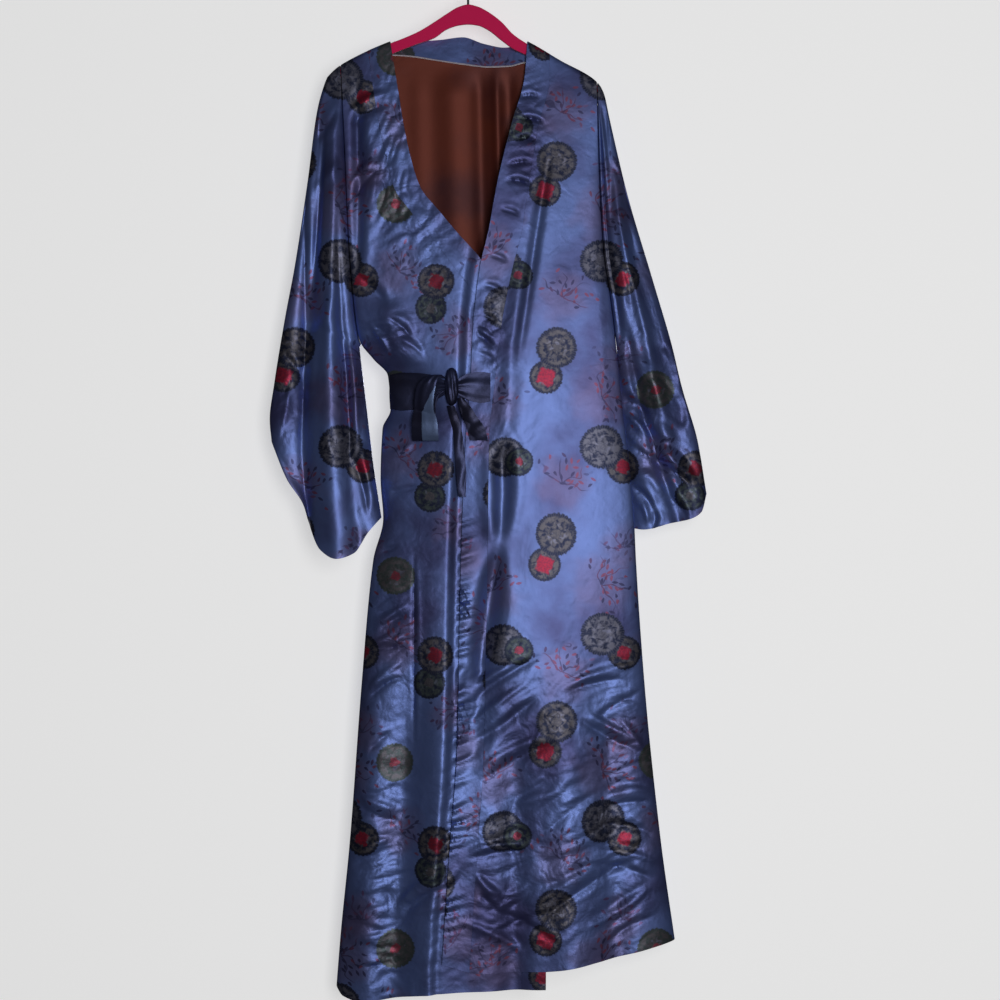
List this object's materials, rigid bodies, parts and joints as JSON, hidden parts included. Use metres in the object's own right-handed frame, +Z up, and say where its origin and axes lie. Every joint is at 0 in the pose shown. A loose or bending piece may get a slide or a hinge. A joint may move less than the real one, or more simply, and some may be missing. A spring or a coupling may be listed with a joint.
{
  "type": "kimono on a hanger",
  "caption": "Long satin kimono robe with a contrasting lining and tied front, hung on a slim flocked hanger with a wire hook.",
  "frame": {"origin": "inside top of the hanger's hook, where it rests on a rail", "axes": "+Z up along the hanging robe, -Y towards someone who looks at its front, +X to that person's right (the wearer's left)"},
  "size_m": [0.6569, 0.1168, 1.5579],
  "materials": {
    "flock": "matte flocking",
    "wire": "polished wire",
    "satin": "satin with a printed pattern",
    "band_satin": "satin with a printed pattern",
    "lining": "smooth lining cloth"
  },
  "bodies": {
    "root": {"hanger": "flock", "hook": "wire", "back": "satin", "lining_back": "lining", "front_right": "satin", "front_left": "satin", "collar_back": "band_satin", "collar_right": "band_satin", "collar_left": "band_satin", "sleeve_right": "satin", "sleeve_left": "satin", "tie_side": "satin", "tie_front": "satin", "tie_knot": "satin", "tie_loop": "satin", "tie_end_short": "satin", "tie_end_long": "satin"}
  },
  "joints": []
}
